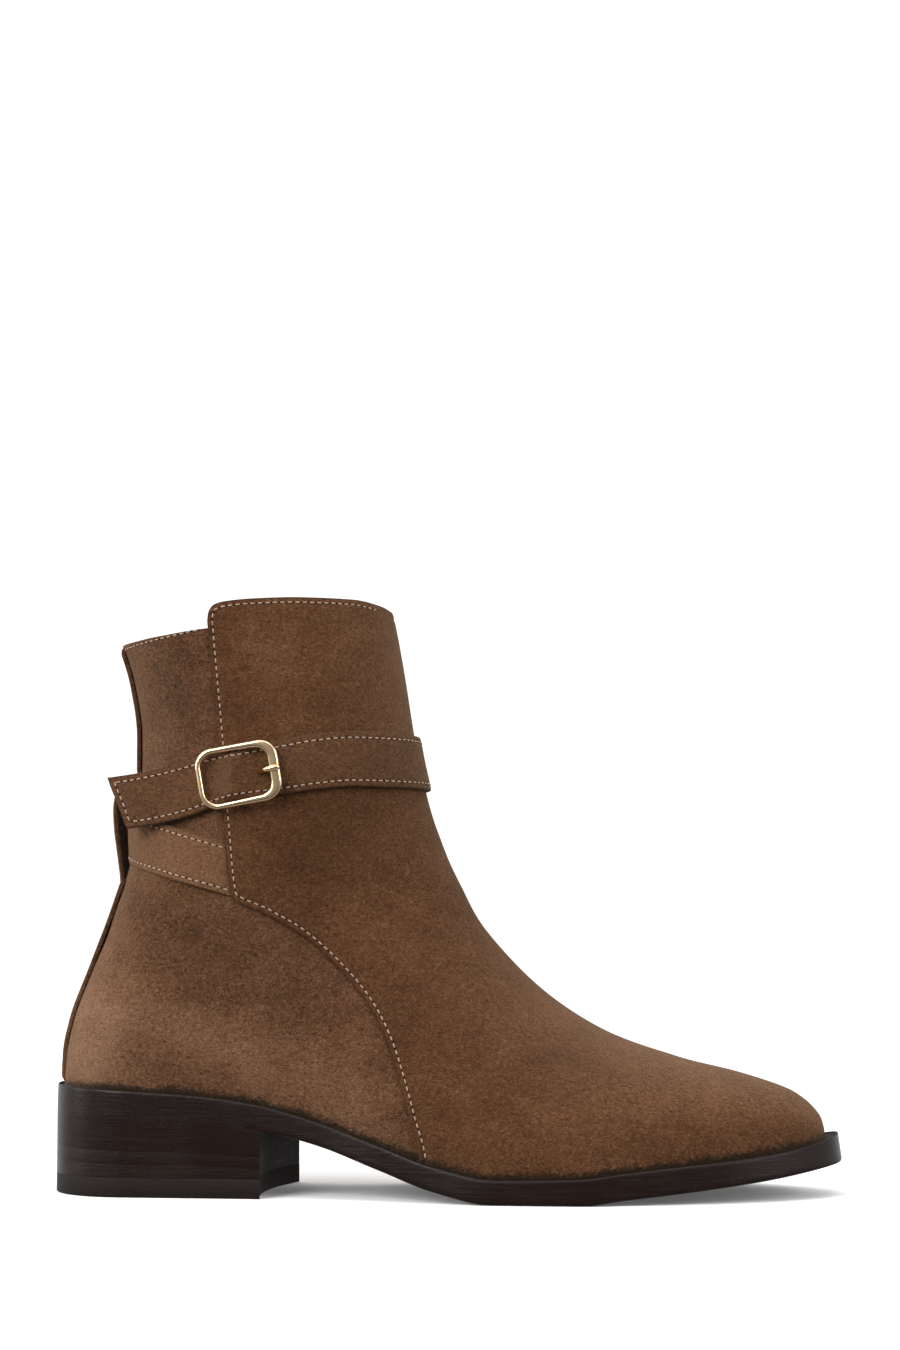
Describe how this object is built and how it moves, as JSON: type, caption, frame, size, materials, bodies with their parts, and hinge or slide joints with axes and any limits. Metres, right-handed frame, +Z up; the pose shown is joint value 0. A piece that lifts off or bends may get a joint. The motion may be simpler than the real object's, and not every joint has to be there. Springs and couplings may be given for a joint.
{
  "type": "ankle boot",
  "caption": "Right ankle boot in brown suede with a stacked heel, almond toe, overlapping front panel, wrap strap with a pale gold buckle and a loop at the back.",
  "frame": {"origin": "on the floor under the middle of the boot's bounding box", "axes": "+X towards the toe, +Y towards the inner side of the foot, +Z up"},
  "size_m": [0.265, 0.0886, 0.1985],
  "materials": {
    "suede": "napped matt suede",
    "sole_leather": "near-black, waxed satin edge",
    "top_rubber": "matt dark brown",
    "insole_leather": "smooth matt",
    "pale_gold": "polished"
  },
  "bodies": {
    "root": {"outsole": "sole_leather", "heel_stack": "sole_leather", "heel_top_piece": "top_rubber", "insole": "insole_leather", "upper": "suede", "strap": "suede", "strap_back_loop": "suede", "buckle_frame": "pale_gold", "buckle_prong": "pale_gold"}
  },
  "joints": []
}
